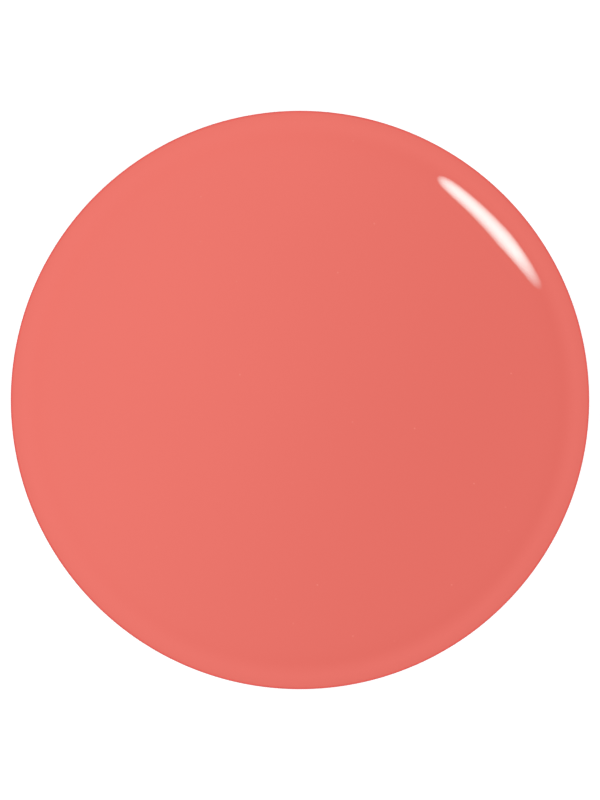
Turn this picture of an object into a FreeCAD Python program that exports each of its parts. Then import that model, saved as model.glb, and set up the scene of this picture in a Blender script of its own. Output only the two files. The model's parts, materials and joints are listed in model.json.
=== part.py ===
"""Round nail polish bottle with a screw cap, a brush, a pull-off over-cap and a shade button on top.

Axes: +Z up along the bottle's axis, origin at the centre of the base on the standing plane.
Units: millimetres and degrees. Every driving dimension is a cell of the sheet "Dimensions".
From the bottom up: glass bottle with lacquer and mixing balls in it, lip seal, brush, threaded
inner cap, over-cap (sleeve, weight and shell), and the lacquered shade button that closes it.
"""

import FreeCAD
import Part

import math
import os

import Sketcher

VECTOR = FreeCAD.Vector
SHEET = "Dimensions"
EXPORT_FOLDER = "parts"
FULL_TURN = 360.0

DIMENSIONS = {
    # glass bottle
    "body_diameter": (30.0, "outside of the glass body"),
    "shoulder_height": (40.0, "flat top of the shoulder"),
    "heel_round": (1.6, "outside bottom corner"),
    "shoulder_round": (1.5, "outside top corner"),
    "punt_diameter": (23.0, "recess under the base, inside the standing ring"),
    "punt_depth": (0.8, "depth of that recess"),
    "punt_round": (0.3, "corner between the recess and the standing ring"),
    "cavity_diameter": (25.0, "inside of the body"),
    "cavity_floor": (5.0, "top of the heavy glass base"),
    "cavity_floor_round": (4.0, "inside bottom corner"),
    "cavity_top": (36.0, "height where the inside turns in to the neck"),
    "cavity_top_round": (3.0, "inside corner at that height"),
    "throat_height": (38.2, "bottom end of the neck bore"),
    "throat_round": (1.2, "corner between the shoulder and the neck bore"),
    "neck_bore": (8.4, "inside of the neck"),
    "neck_diameter": (13.1, "outside of the neck between threads"),
    "neck_height": (14.0, "shoulder to lip"),
    "neck_root_round": (0.8, "corner between neck and shoulder"),
    "lip_round": (0.5, "both edges of the lip"),
    # screw thread, 12 per inch
    "thread_pitch": (2.117, "rise of one turn"),
    "thread_turns": (1.5, "length of the thread"),
    "thread_drop": (1.0, "lip to the top of the glass thread"),
    "root_bite": (0.2, "how far the root of a thread, rib or fin runs into its wall"),
    "neck_thread_diameter": (14.6, "crest of the glass thread"),
    "neck_thread_root": (1.5, "width of the glass thread at the neck"),
    "neck_thread_crest": (0.64, "width of the glass thread at its crest"),
    "cap_thread_diameter": (13.35, "crest of the cap thread"),
    "cap_thread_root": (1.24, "width of the cap thread at its wall"),
    "cap_thread_crest": (0.54, "width of the cap thread at its crest"),
    # what the bottle holds
    "seat_gap": (0.02, "free space between two pieces that rest on each other"),
    "fill_height": (33.5, "surface of the lacquer"),
    "brush_channel": (4.6, "width of the space that the brush keeps in the lacquer"),
    "ball_diameter": (4.0, "mixing ball"),
    "ball_circle": (16.0, "circle that the balls' centres lie on"),
    "first_ball_angle": (200.0, "place of one ball on that circle"),
    "second_ball_angle": (236.0, "place of the other ball"),
    "label_diameter": (21.0, "round label under the base"),
    "label_thickness": (0.1, "label film"),
    # brush and seal
    "seal_thickness": (0.8, "foam seal on the lip"),
    "seal_diameter": (12.8, "outside of the seal"),
    "seal_bore": (8.8, "inside of the seal"),
    "flange_thickness": (1.0, "flange that presses the seal on the lip"),
    "flange_diameter": (12.6, "outside of that flange"),
    "spigot_diameter": (6.0, "plug that holds the brush in the inner cap"),
    "spigot_height": (6.0, "length of that plug"),
    "spigot_chamfer": (0.5, "lead-in of that plug"),
    "stem_top_diameter": (4.4, "stem under the flange"),
    "stem_tip_diameter": (3.5, "stem where the bristles come out"),
    "stem_end": (22.5, "height of the stem's lower end"),
    "stem_bore": (2.4, "hole that holds the bristles"),
    "stem_bore_depth": (7.0, "depth of that hole"),
    "bristle_tip": (7.0, "height of the bristles' tips"),
    "bristle_belly": (3.8, "widest part of the tuft"),
    "bristle_belly_height": (13.5, "height of that widest part"),
    "bristle_tip_diameter": (2.4, "tuft at its tip"),
    "bristle_tip_round": (0.9, "rounded tip of the tuft"),
    "staple_width": (2.2, "wire staple across the tuft"),
    "staple_thickness": (0.4, "wire staple"),
    "staple_height": (1.6, "wire staple along the stem"),
    # inner cap
    "inner_cap_bottom": (41.2, "lower edge of the threaded skirt"),
    "inner_cap_top": (64.0, "upper edge of the grip wall"),
    "inner_cap_diameter": (19.2, "outside between the grip ribs"),
    "inner_cap_bore": (14.9, "inside of the threaded skirt"),
    "inner_cap_web": (1.4, "wall that presses on the flange"),
    "inner_cap_well": (16.6, "inside of the grip wall above the web"),
    "boss_diameter": (9.6, "boss round the brush's plug"),
    "boss_cover": (1.0, "wall over the brush's plug"),
    "cap_edge_round": (0.3, "edges of the inner cap"),
    "grip_rib_height": (0.2, "how far a grip rib stands out"),
    "grip_rib_width": (0.8, "width of a grip rib"),
    "grip_rib_margin": (1.0, "plain wall past each end of a grip rib"),
    "grip_rib_count": (36, "grip ribs round the inner cap"),
    # over-cap
    "shell_diameter": (29.8, "outside of the over-cap"),
    "shell_wall": (1.3, "side wall of the over-cap"),
    "shell_bottom": (40.5, "lower edge of the over-cap"),
    "shell_top": (75.0, "top face under the shade button"),
    "shell_ceiling": (1.8, "top wall of the over-cap"),
    "shell_edge_round": (0.4, "outside edges of the over-cap"),
    "shell_inside_round": (1.0, "inside top corner of the over-cap"),
    "button_hole": (6.1, "hole for the shade button's peg"),
    "sleeve_bore": (19.9, "inside of the gripping sleeve"),
    "sleeve_wall": (1.15, "wall of the gripping sleeve"),
    "sleeve_bottom": (42.0, "lower edge of the gripping sleeve"),
    "sleeve_floor": (1.2, "wall that rests on the inner cap"),
    "fin_count": (8, "fins that centre the sleeve in the shell"),
    "fin_width": (1.0, "width of a fin"),
    "fin_bottom": (43.0, "lower end of the fins"),
    "fin_top": (59.0, "upper end of the fins, where the weight rests"),
    "bead_count": (6, "beads that grip the inner cap"),
    "bead_width": (1.2, "width of a bead"),
    "bead_height": (0.11, "how far a bead stands in"),
    "bead_bottom": (45.0, "lower end of the beads"),
    "bead_top": (60.0, "upper end of the beads"),
    "weight_clearance": (0.05, "gap between the weight and the walls beside it"),
    "weight_chamfer": (0.4, "edges of the weight"),
    # shade button
    "button_diameter": (30.2, "outside of the lacquered button"),
    "button_wall": (0.9, "height of its upright side"),
    "button_coat": (0.25, "thickness of the lacquer coat"),
    "button_edge_round": (0.45, "small round at the rim"),
    "button_edge_tilt": (52.0, "slope where the small round meets the bend"),
    "button_bend": (3.6, "radius of the bend inside the rim"),
    "button_crown_tilt": (3.3, "slope where the bend meets the crown"),
    "peg_hollow": (2.8, "bore up the middle of the peg"),
    "peg_length": (3.5, "button's underside to the peg's end"),
    "barb_diameter": (6.7, "snap barb under the over-cap's top wall"),
    "barb_land": (0.3, "height of the barb's widest part"),
    "barb_tip_diameter": (5.2, "lead-in at the peg's end"),
    "peg_slot": (0.8, "width of the slots that let the peg flex"),
    "peg_slot_height": (2.2, "height of those slots"),
}


class Size:
    """A number that remembers the sheet expression it comes from."""

    def __init__(self, value, text):
        self.value = value
        self.text = text

    @staticmethod
    def of(other):
        return other if isinstance(other, Size) else Size(float(other), repr(float(other)))

    def __add__(self, other):
        other = Size.of(other)
        return Size(self.value + other.value, f"({self.text} + {other.text})")

    def __sub__(self, other):
        other = Size.of(other)
        return Size(self.value - other.value, f"({self.text} - {other.text})")

    def __mul__(self, other):
        other = Size.of(other)
        return Size(self.value * other.value, f"({self.text} * {other.text})")

    def __truediv__(self, other):
        other = Size.of(other)
        return Size(self.value / other.value, f"({self.text} / {other.text})")


def sine(angle):
    return Size(math.sin(math.radians(angle.value)), f"sin({angle.text})")


def cosine(angle):
    return Size(math.cos(math.radians(angle.value)), f"cos({angle.text})")


ZERO = Size(0.0, "0")


class Sizes:
    """The sheet's cells as Size values, each under its alias."""

    def __init__(self, doc):
        sheet = doc.addObject("Spreadsheet::Sheet", SHEET)
        for row, (alias, (value, note)) in enumerate(DIMENSIONS.items(), start=1):
            sheet.set(f"A{row}", alias)
            sheet.set(f"B{row}", str(value))
            sheet.setAlias(f"B{row}", alias)
            sheet.set(f"C{row}", note)
            setattr(self, alias, Size(float(value), f"{SHEET}.{alias}"))
        doc.recompute()


# ---------------------------------------------------------------- sketches and features


def origin_feature(body, role):
    return next(f for f in body.Origin.OriginFeatures if f.Role == role)


def new_body(doc, name):
    body = doc.addObject("PartDesign::Body", name)
    body.Label = name
    return body


def new_sketch(body, name, plane="XZ_Plane"):
    sketch = body.newObject("Sketcher::SketchObject", name)
    sketch.AttachmentSupport = [(origin_feature(body, plane), "")]
    sketch.MapMode = "FlatFace"
    return sketch


def drive(sketch, kind, *where, size):
    """Adds a dimension to the sketch and binds it to a sheet expression."""
    index = sketch.addConstraint(Sketcher.Constraint(kind, *where, size.value))
    sketch.setExpression(f"Constraints[{index}]", size.text)


def pin(sketch, geometry, vertex, x, y):
    """Holds a vertex at (x, y) from the sketch's origin."""
    origin, h_axis, v_axis = (-1, 1), -1, -2
    if x.value == 0:
        sketch.addConstraint(Sketcher.Constraint("PointOnObject", geometry, vertex, v_axis))
    else:
        drive(sketch, "DistanceX", *origin, geometry, vertex, size=x)
    if y.value == 0:
        sketch.addConstraint(Sketcher.Constraint("PointOnObject", geometry, vertex, h_axis))
    else:
        drive(sketch, "DistanceY", *origin, geometry, vertex, size=y)


def arc_middle(start, end, radius):
    """Middle point of the short arc from start to end that bulges to the left of that way."""
    chord = end - start
    half = chord.Length / 2
    rise = radius - math.sqrt(radius**2 - half**2)
    left = VECTOR(-chord.y, chord.x, 0).normalize()
    return start + chord * 0.5 + left * rise


def outline(sketch, points):
    """Closes a loop through (x, y) points. A third value on a point is the radius of an arc to it."""
    places = [VECTOR(p[0].value, p[1].value, 0) for p in points]
    starts = []
    for i, place in enumerate(places):
        after = (i + 1) % len(points)
        target = places[after]
        if len(points[after]) == 3:
            middle = arc_middle(place, target, points[after][2].value)
            index = sketch.addGeometry(Part.Arc(place, middle, target))
        else:
            index = sketch.addGeometry(Part.LineSegment(place, target))
        begins = sketch.getPoint(index, 1).distanceToPoint(place) < 1e-6
        starts.append((index, 1 if begins else 2, 2 if begins else 1))
    for i, point in enumerate(points):
        index, start, end = starts[i]
        following = starts[(i + 1) % len(points)]
        sketch.addConstraint(
            Sketcher.Constraint("Coincident", index, end, following[0], following[1])
        )
        pin(sketch, index, start, point[0], point[1])
        arrives = points[(i + 1) % len(points)]
        if len(arrives) == 3:
            drive(sketch, "Radius", index, size=arrives[2])


def revolve(body, name, points):
    """Turns an outline in the XZ plane into a solid of revolution about Z."""
    sketch = new_sketch(body, name + "_outline")
    outline(sketch, points)
    turned = body.newObject("PartDesign::Revolution", name)
    turned.Profile = sketch
    turned.ReferenceAxis = (sketch, ["V_Axis"])
    turned.Angle = FULL_TURN
    body.Document.recompute()
    return turned


def rings(feature, spots):
    """Names of the circular edges about Z at the given (radius, height) spots."""
    names = []
    for number, edge in enumerate(feature.Shape.Edges, start=1):
        curve = edge.Curve
        if not isinstance(curve, Part.Circle):
            continue
        for radius, height in spots:
            same_radius = abs(curve.Radius - radius.value) < 1e-4
            if same_radius and abs(curve.Center.z - height.value) < 1e-4:
                names.append(f"Edge{number}")
    if len(names) != len(spots):
        raise ValueError(f"{feature.Label}: found {len(names)} of {len(spots)} edges")
    return names


def dress(body, kind, name, size, spots):
    """Fillets or chamfers the rings at those spots."""
    base = body.Tip
    feature = body.newObject(f"PartDesign::{kind}", name)
    feature.Base = (base, rings(base, spots))
    feature.setExpression("Radius" if kind == "Fillet" else "Size", size.text)
    body.Document.recompute()
    return feature


def box_sketch(body, name, low_x, high_x, low_y, high_y, plane="XY_Plane"):
    sketch = new_sketch(body, name, plane)
    outline(sketch, [(low_x, low_y), (high_x, low_y), (high_x, high_y), (low_x, high_y)])
    return sketch


def pad_between(body, name, sketch, low, high):
    """Pads an XY sketch from one height to another."""
    sketch.setExpression("AttachmentOffset.Base.z", low.text)
    pad = body.newObject("PartDesign::Pad", name)
    pad.Profile = sketch
    pad.setExpression("Length", (high - low).text)
    body.Document.recompute()
    return pad


def around(body, name, feature, count):
    """Repeats a feature evenly about Z."""
    pattern = body.newObject("PartDesign::PolarPattern", name)
    pattern.Originals = [feature]
    pattern.Axis = (origin_feature(body, "Z_Axis"), [""])
    pattern.Angle = FULL_TURN
    pattern.setExpression("Occurrences", count.text)
    body.Tip = pattern
    body.Document.recompute()
    return pattern


def ridge(body, name, root_x, crest_x, middle, root, crest, sizes):
    """Winds a thread ridge about Z: middle is the height of its centre line at the lower end."""
    sketch = new_sketch(body, name + "_section")
    outline(
        sketch,
        [
            (root_x, middle - root / 2),
            (crest_x, middle - crest / 2),
            (crest_x, middle + crest / 2),
            (root_x, middle + root / 2),
        ],
    )
    helix = body.newObject("PartDesign::AdditiveHelix", name)
    helix.Profile = sketch
    helix.ReferenceAxis = (sketch, ["V_Axis"])
    helix.Mode = "pitch-turns-angle"
    helix.setExpression("Pitch", sizes.thread_pitch.text)
    helix.setExpression("Turns", sizes.thread_turns.text)
    body.Document.recompute()
    return helix


# ---------------------------------------------------------------- heights that pieces share


def lip_height(s):
    return s.shoulder_height + s.neck_height


def thread_start(s):
    """Height of the glass thread's centre line at its lower end."""
    return lip_height(s) - s.thread_drop - s.neck_thread_root / 2 - s.thread_pitch * s.thread_turns


def flange_bottom(s):
    return lip_height(s) + s.seat_gap + s.seal_thickness + s.seat_gap


def flange_top(s):
    return flange_bottom(s) + s.flange_thickness


def shell_ceiling_height(s):
    return s.shell_top - s.shell_ceiling


def button_bottom(s):
    return s.shell_top + s.seat_gap


# ---------------------------------------------------------------- the bottle and what it holds


def glass_bottle(doc, s):
    body = new_body(doc, "glass_bottle")
    outer, standing = s.body_diameter / 2, s.punt_diameter / 2
    cavity, bore, neck = s.cavity_diameter / 2, s.neck_bore / 2, s.neck_diameter / 2
    lip = lip_height(s)
    revolve(
        body,
        "bottle_wall",
        [
            (ZERO, s.punt_depth),
            (standing, s.punt_depth),
            (standing, ZERO),
            (outer, ZERO),
            (outer, s.shoulder_height),
            (neck, s.shoulder_height),
            (neck, lip),
            (bore, lip),
            (bore, s.throat_height),
            (cavity, s.cavity_top),
            (cavity, s.cavity_floor),
            (ZERO, s.cavity_floor),
        ],
    )
    dress(body, "Fillet", "heel", s.heel_round, [(outer, ZERO)])
    dress(body, "Fillet", "shoulder", s.shoulder_round, [(outer, s.shoulder_height)])
    dress(body, "Fillet", "punt", s.punt_round, [(standing, ZERO), (standing, s.punt_depth)])
    dress(body, "Fillet", "floor", s.cavity_floor_round, [(cavity, s.cavity_floor)])
    dress(body, "Fillet", "inside_top", s.cavity_top_round, [(cavity, s.cavity_top)])
    dress(body, "Fillet", "throat", s.throat_round, [(bore, s.throat_height)])
    dress(body, "Fillet", "neck_root", s.neck_root_round, [(neck, s.shoulder_height)])
    dress(body, "Fillet", "lip", s.lip_round, [(neck, lip), (bore, lip)])
    ridge(
        body,
        "neck_thread",
        neck - s.root_bite,
        s.neck_thread_diameter / 2,
        thread_start(s),
        s.neck_thread_root,
        s.neck_thread_crest,
        s,
    )
    return body


def mixing_balls(doc, s):
    """Two loose steel balls on the bottle's floor."""
    balls = []
    for number, angle in enumerate((s.first_ball_angle, s.second_ball_angle), start=1):
        ball = doc.addObject("Part::Sphere", f"mixing_ball_{number}")
        ball.Label = f"mixing_ball_{number}"
        ball.setExpression("Radius", (s.ball_diameter / 2).text)
        place = s.ball_circle / 2
        ball.setExpression("Placement.Base.x", (place * cosine(angle)).text)
        ball.setExpression("Placement.Base.y", (place * sine(angle)).text)
        height = s.cavity_floor + s.seat_gap + s.ball_diameter / 2
        ball.setExpression("Placement.Base.z", height.text)
        balls.append(ball)
    doc.recompute()
    return balls


def nail_lacquer(doc, s, balls):
    """The liquid: it fills the cavity and leaves room for the brush and the balls."""
    liquid = new_body(doc, "lacquer_fill")
    wall = s.cavity_diameter / 2 - s.seat_gap
    floor = s.cavity_floor + s.seat_gap
    channel = s.brush_channel / 2
    channel_floor = s.bristle_tip - (s.brush_channel - s.bristle_belly) / 2
    revolve(
        liquid,
        "lacquer",
        [
            (ZERO, floor),
            (wall, floor),
            (wall, s.fill_height),
            (channel, s.fill_height),
            (channel, channel_floor),
            (ZERO, channel_floor),
        ],
    )
    round_inside = s.cavity_floor_round - s.seat_gap
    dress(liquid, "Fillet", "lacquer_floor", round_inside, [(wall, floor)])
    shape = liquid
    for ball in balls:
        room = doc.addObject("Part::Sphere", "room_for_" + ball.Name)
        room.setExpression("Radius", (s.ball_diameter / 2 + s.seat_gap / 2).text)
        for axis in "xyz":
            room.setExpression(f"Placement.Base.{axis}", f"{ball.Name}.Placement.Base.{axis}")
        cut = doc.addObject("Part::Cut", "lacquer_round_" + ball.Name)
        cut.Base = shape
        cut.Tool = room
        shape = cut
    shape.Label = "nail_lacquer"
    doc.recompute()
    return shape


def base_label(doc, s):
    """Plain round film label in the recess under the base."""
    body = new_body(doc, "base_label")
    top = s.punt_depth - s.seat_gap
    edge = s.label_diameter / 2
    bottom = top - s.label_thickness
    revolve(body, "label", [(ZERO, bottom), (edge, bottom), (edge, top), (ZERO, top)])
    return body


# ---------------------------------------------------------------- seal and brush


def lip_seal(doc, s):
    body = new_body(doc, "lip_seal")
    bottom = lip_height(s) + s.seat_gap
    top = bottom + s.seal_thickness
    bore, edge = s.seal_bore / 2, s.seal_diameter / 2
    revolve(body, "seal", [(bore, bottom), (edge, bottom), (edge, top), (bore, top)])
    return body


def brush_stem(doc, s):
    """Plug for the inner cap, flange over the seal, and a tapered stem with a bored end."""
    body = new_body(doc, "brush_stem")
    low, high = flange_bottom(s), flange_top(s)
    spigot, flange = s.spigot_diameter / 2, s.flange_diameter / 2
    tip, bore = s.stem_tip_diameter / 2, s.stem_bore / 2
    root = s.stem_top_diameter / 2
    crown = high + s.spigot_height
    revolve(
        body,
        "stem",
        [
            (ZERO, s.stem_end + s.stem_bore_depth),
            (bore, s.stem_end + s.stem_bore_depth),
            (bore, s.stem_end),
            (tip, s.stem_end),
            (root, low),
            (flange, low),
            (flange, high),
            (spigot, high),
            (spigot, crown),
            (ZERO, crown),
        ],
    )
    dress(body, "Chamfer", "spigot_lead", s.spigot_chamfer, [(spigot, crown)])
    return body


def brush_staple(doc, s):
    """Wire staple that holds the folded tuft in the stem's bore."""
    body = new_body(doc, "brush_staple")
    half_width, half_depth = s.staple_width / 2, s.staple_thickness / 2
    sketch = box_sketch(
        body, "staple_section", ZERO - half_width, half_width, ZERO - half_depth, half_depth
    )
    top = s.stem_end + s.stem_bore_depth - s.seat_gap
    pad_between(body, "staple", sketch, top - s.staple_height, top)
    return body


def brush_bristles(doc, s, staple):
    """The tuft as one closed solid: straight in the bore, a belly below it and a rounded tip."""
    body = new_body(doc, "bristle_tuft")
    packed = s.stem_bore / 2 - s.seat_gap
    top = s.stem_end + s.stem_bore_depth - s.seat_gap
    belly, tip = s.bristle_belly / 2, s.bristle_tip_diameter / 2
    revolve(
        body,
        "tuft",
        [
            (ZERO, s.bristle_tip),
            (tip, s.bristle_tip),
            (belly, s.bristle_belly_height),
            (packed, s.stem_end),
            (packed, top),
            (ZERO, top),
        ],
    )
    dress(body, "Fillet", "tuft_tip", s.bristle_tip_round, [(tip, s.bristle_tip)])
    tuft = doc.addObject("Part::Cut", "brush_bristles")
    tuft.Label = "brush_bristles"
    tuft.Base = body
    tuft.Tool = staple
    doc.recompute()
    return tuft


# ---------------------------------------------------------------- inner cap


def inner_cap(doc, s):
    """Threaded skirt, web over the flange, boss round the plug and a ribbed grip wall."""
    body = new_body(doc, "inner_cap")
    web = flange_top(s) + s.seat_gap
    web_top = web + s.inner_cap_web
    socket = s.spigot_diameter / 2 + s.seat_gap
    socket_top = flange_top(s) + s.spigot_height + s.seat_gap
    bore, outer = s.inner_cap_bore / 2, s.inner_cap_diameter / 2
    well, boss = s.inner_cap_well / 2, s.boss_diameter / 2
    boss_top = socket_top + s.boss_cover
    revolve(
        body,
        "cap_wall",
        [
            (socket, web),
            (bore, web),
            (bore, s.inner_cap_bottom),
            (outer, s.inner_cap_bottom),
            (outer, s.inner_cap_top),
            (well, s.inner_cap_top),
            (well, web_top),
            (boss, web_top),
            (boss, boss_top),
            (ZERO, boss_top),
            (ZERO, socket_top),
            (socket, socket_top),
        ],
    )
    edges = [
        (bore, s.inner_cap_bottom),
        (outer, s.inner_cap_bottom),
        (outer, s.inner_cap_top),
        (well, s.inner_cap_top),
        (boss, boss_top),
    ]
    dress(body, "Fillet", "cap_edges", s.cap_edge_round, edges)
    half = s.grip_rib_width / 2
    sketch = box_sketch(
        body, "grip_rib_section", outer - s.root_bite, outer + s.grip_rib_height, ZERO - half, half
    )
    low, high = s.inner_cap_bottom + s.grip_rib_margin, s.inner_cap_top - s.grip_rib_margin
    rib = pad_between(body, "grip_rib", sketch, low, high)
    around(body, "grip_ribs", rib, s.grip_rib_count)
    ridge(
        body,
        "cap_thread",
        bore + s.root_bite,
        s.cap_thread_diameter / 2,
        thread_start(s) - s.thread_pitch / 2,
        s.cap_thread_root,
        s.cap_thread_crest,
        s,
    )
    return body


# ---------------------------------------------------------------- over-cap


def overcap_shell(doc, s):
    body = new_body(doc, "overcap_shell")
    outer = s.shell_diameter / 2
    inner = outer - s.shell_wall
    hole = s.button_hole / 2
    ceiling = shell_ceiling_height(s)
    revolve(
        body,
        "shell",
        [
            (hole, ceiling),
            (inner, ceiling),
            (inner, s.shell_bottom),
            (outer, s.shell_bottom),
            (outer, s.shell_top),
            (hole, s.shell_top),
        ],
    )
    outside = [(outer, s.shell_bottom), (outer, s.shell_top)]
    dress(body, "Fillet", "shell_edges", s.shell_edge_round, outside)
    dress(body, "Fillet", "shell_inside", s.shell_inside_round, [(inner, ceiling)])
    return body


def overcap_sleeve(doc, s):
    """Sleeve that grips the inner cap, with fins to the shell that also carry the weight."""
    body = new_body(doc, "overcap_sleeve")
    bore = s.sleeve_bore / 2
    outer = bore + s.sleeve_wall
    floor = s.inner_cap_top + s.seat_gap
    top = shell_ceiling_height(s) - s.seat_gap
    revolve(
        body,
        "sleeve",
        [
            (ZERO, floor),
            (bore, floor),
            (bore, s.sleeve_bottom),
            (outer, s.sleeve_bottom),
            (outer, top),
            (bore, top),
            (bore, floor + s.sleeve_floor),
            (ZERO, floor + s.sleeve_floor),
        ],
    )
    half = s.fin_width / 2
    reach = s.shell_diameter / 2 - s.shell_wall - s.seat_gap
    sketch = box_sketch(body, "fin_section", outer - s.root_bite, reach, ZERO - half, half)
    fin = pad_between(body, "fin", sketch, s.fin_bottom, s.fin_top)
    around(body, "fins", fin, s.fin_count)
    half = s.bead_width / 2
    sketch = box_sketch(
        body, "bead_section", bore - s.bead_height, bore + s.root_bite, ZERO - half, half
    )
    bead = pad_between(body, "bead", sketch, s.bead_bottom, s.bead_top)
    around(body, "beads", bead, s.bead_count)
    return body


def weight_ring(doc, s):
    """Steel ring that gives the over-cap its weight, trapped between fins and ceiling."""
    body = new_body(doc, "weight_ring")
    inner = s.sleeve_bore / 2 + s.sleeve_wall + s.weight_clearance
    outer = s.shell_diameter / 2 - s.shell_wall - s.weight_clearance
    bottom = s.fin_top + s.seat_gap
    top = shell_ceiling_height(s) - s.seat_gap - s.shell_inside_round
    spots = [(inner, bottom), (outer, bottom), (outer, top), (inner, top)]
    revolve(body, "ring", spots)
    dress(body, "Chamfer", "ring_edges", s.weight_chamfer, spots)
    return body


# ---------------------------------------------------------------- shade button


def dome_points(s, inset):
    """The button's outside from rim to crown, moved inwards by inset."""
    rim = s.button_diameter / 2
    wall_top = button_bottom(s) + s.button_wall
    small_x = rim - s.button_edge_round
    tilt, crown_tilt = s.button_edge_tilt, s.button_crown_tilt
    reach = s.button_edge_round - s.button_bend
    bend_x = small_x + reach * sine(tilt)
    bend_z = wall_top + reach * cosine(tilt)
    crown = (bend_x + s.button_bend * sine(crown_tilt)) / sine(crown_tilt)
    crown_z = bend_z + s.button_bend * cosine(crown_tilt) - crown * cosine(crown_tilt)
    small = s.button_edge_round - inset
    bend = s.button_bend - inset
    return [
        (rim - inset, wall_top),
        (small_x + small * sine(tilt), wall_top + small * cosine(tilt), small),
        (bend_x + bend * sine(crown_tilt), bend_z + bend * cosine(crown_tilt), bend),
        (ZERO, crown_z + crown - inset, crown - inset),
    ]


def backwards(points):
    """The same open outline walked the other way, each radius kept with its own arc."""
    walked = []
    for i, point in enumerate(reversed(points)):
        arc = points[len(points) - i] if i else ()
        walked.append((point[0], point[1]) + tuple(arc[2:]))
    return walked


def shade_button(doc, s):
    """Domed disc with a hollow, slotted snap peg."""
    body = new_body(doc, "shade_button")
    bottom = button_bottom(s)
    peg, hollow = s.button_hole / 2 - s.seat_gap, s.peg_hollow / 2
    end = bottom - s.peg_length
    barb, barb_top = s.barb_diameter / 2, shell_ceiling_height(s) - s.seat_gap
    crown_first = backwards(dome_points(s, s.button_coat))
    revolve(
        body,
        "button",
        crown_first
        + [
            (s.button_diameter / 2 - s.button_coat, bottom),
            (peg, bottom),
            (peg, barb_top),
            (barb, barb_top),
            (barb, barb_top - s.barb_land),
            (s.barb_tip_diameter / 2, end),
            (hollow, end),
            (hollow, bottom),
            (ZERO, bottom),
        ],
    )
    reach, half = s.barb_diameter / 2 + s.seat_gap, s.peg_slot / 2
    long_way = (ZERO - reach, reach, ZERO - half, half)
    for name, sides in (("slot_x", long_way), ("slot_y", long_way[2:] + long_way[:2])):
        sketch = box_sketch(body, name + "_section", *sides)
        sketch.setExpression("AttachmentOffset.Base.z", end.text)
        slot = body.newObject("PartDesign::Pocket", name)
        slot.Profile = sketch
        slot.Reversed = True
        slot.setExpression("Length", s.peg_slot_height.text)
        doc.recompute()
    return body


def shade_lacquer(doc, s, button):
    """Coat of lacquer over the button's top and side."""
    dome = new_body(doc, "lacquered_dome")
    bottom = button_bottom(s)
    crown_first = backwards(dome_points(s, ZERO))
    revolve(dome, "dome", crown_first + [(s.button_diameter / 2, bottom), (ZERO, bottom)])
    coat = doc.addObject("Part::Cut", "shade_lacquer")
    coat.Label = "shade_lacquer"
    coat.Base = dome
    coat.Tool = button
    doc.recompute()
    return coat


# ---------------------------------------------------------------- build and export


def check(doc, parts):
    """Stops the build if any object failed, or if a sub-part's shape isn't a valid solid."""
    for thing in doc.Objects:
        if "Invalid" in thing.State or "Error" in thing.State:
            raise RuntimeError(f"{thing.Label} is {thing.State}")
    for part in parts:
        shape = part.Shape
        if shape.isNull() or not shape.isValid() or shape.Volume <= 0:
            raise RuntimeError(f"{part.Label} has no valid shape")
        print(f"{part.Label}: {len(shape.Solids)} solid, {shape.Volume:.1f} mm3")


def main():
    doc = FreeCAD.newDocument("nail_polish_bottle")
    s = Sizes(doc)
    balls = mixing_balls(doc, s)
    staple = brush_staple(doc, s)
    button = shade_button(doc, s)
    parts = [
        glass_bottle(doc, s),
        nail_lacquer(doc, s, balls),
        *balls,
        base_label(doc, s),
        lip_seal(doc, s),
        brush_stem(doc, s),
        staple,
        brush_bristles(doc, s, staple),
        inner_cap(doc, s),
        overcap_shell(doc, s),
        overcap_sleeve(doc, s),
        weight_ring(doc, s),
        button,
        shade_lacquer(doc, s, button),
    ]
    doc.recompute()
    check(doc, parts)
    os.makedirs(EXPORT_FOLDER, exist_ok=True)
    for part in parts:
        part.Shape.exportStep(os.path.join(EXPORT_FOLDER, part.Label + ".step"))


main()
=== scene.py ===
"""Looks of the round nail polish bottle: smooth shells, threads, wet brush, materials and studio.

Geometry is written in millimetres in the CAD model's frame (+Z up, origin under the base) and
turned into metres where a mesh is made. Lights, camera and materials are in metres.
"""

import json
import math

import bmesh
import bpy
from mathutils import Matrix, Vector

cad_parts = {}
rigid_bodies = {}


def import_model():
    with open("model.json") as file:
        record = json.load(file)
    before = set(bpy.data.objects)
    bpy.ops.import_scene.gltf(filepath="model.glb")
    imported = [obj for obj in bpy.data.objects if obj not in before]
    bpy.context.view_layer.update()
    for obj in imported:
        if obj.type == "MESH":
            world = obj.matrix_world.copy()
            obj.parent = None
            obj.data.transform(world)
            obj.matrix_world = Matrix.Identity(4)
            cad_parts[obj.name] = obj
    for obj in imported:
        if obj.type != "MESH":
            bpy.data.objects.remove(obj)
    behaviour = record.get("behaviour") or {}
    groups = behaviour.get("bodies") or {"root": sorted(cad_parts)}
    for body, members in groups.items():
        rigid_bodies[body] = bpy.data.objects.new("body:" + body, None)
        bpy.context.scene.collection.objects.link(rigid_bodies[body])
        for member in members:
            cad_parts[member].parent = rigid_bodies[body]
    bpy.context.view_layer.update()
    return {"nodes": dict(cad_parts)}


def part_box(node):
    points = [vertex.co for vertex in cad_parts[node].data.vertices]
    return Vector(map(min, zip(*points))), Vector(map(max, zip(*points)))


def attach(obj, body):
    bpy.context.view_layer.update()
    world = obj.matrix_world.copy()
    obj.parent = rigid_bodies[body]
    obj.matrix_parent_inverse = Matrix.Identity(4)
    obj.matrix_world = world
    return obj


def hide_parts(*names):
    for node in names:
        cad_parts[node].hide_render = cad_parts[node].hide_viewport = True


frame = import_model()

MM = 0.001
FULL_TURN = 2 * math.pi
SAME_RADIUS = 1e-6
COLUMNS = 256
RIB_COLUMNS = 576
CHORD_ERROR = 0.001
FEWEST_CHORDS = 4
SHARP_EDGE = math.radians(35)

# ---------------------------------------------------------------- sizes that the boxes don't give

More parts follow.
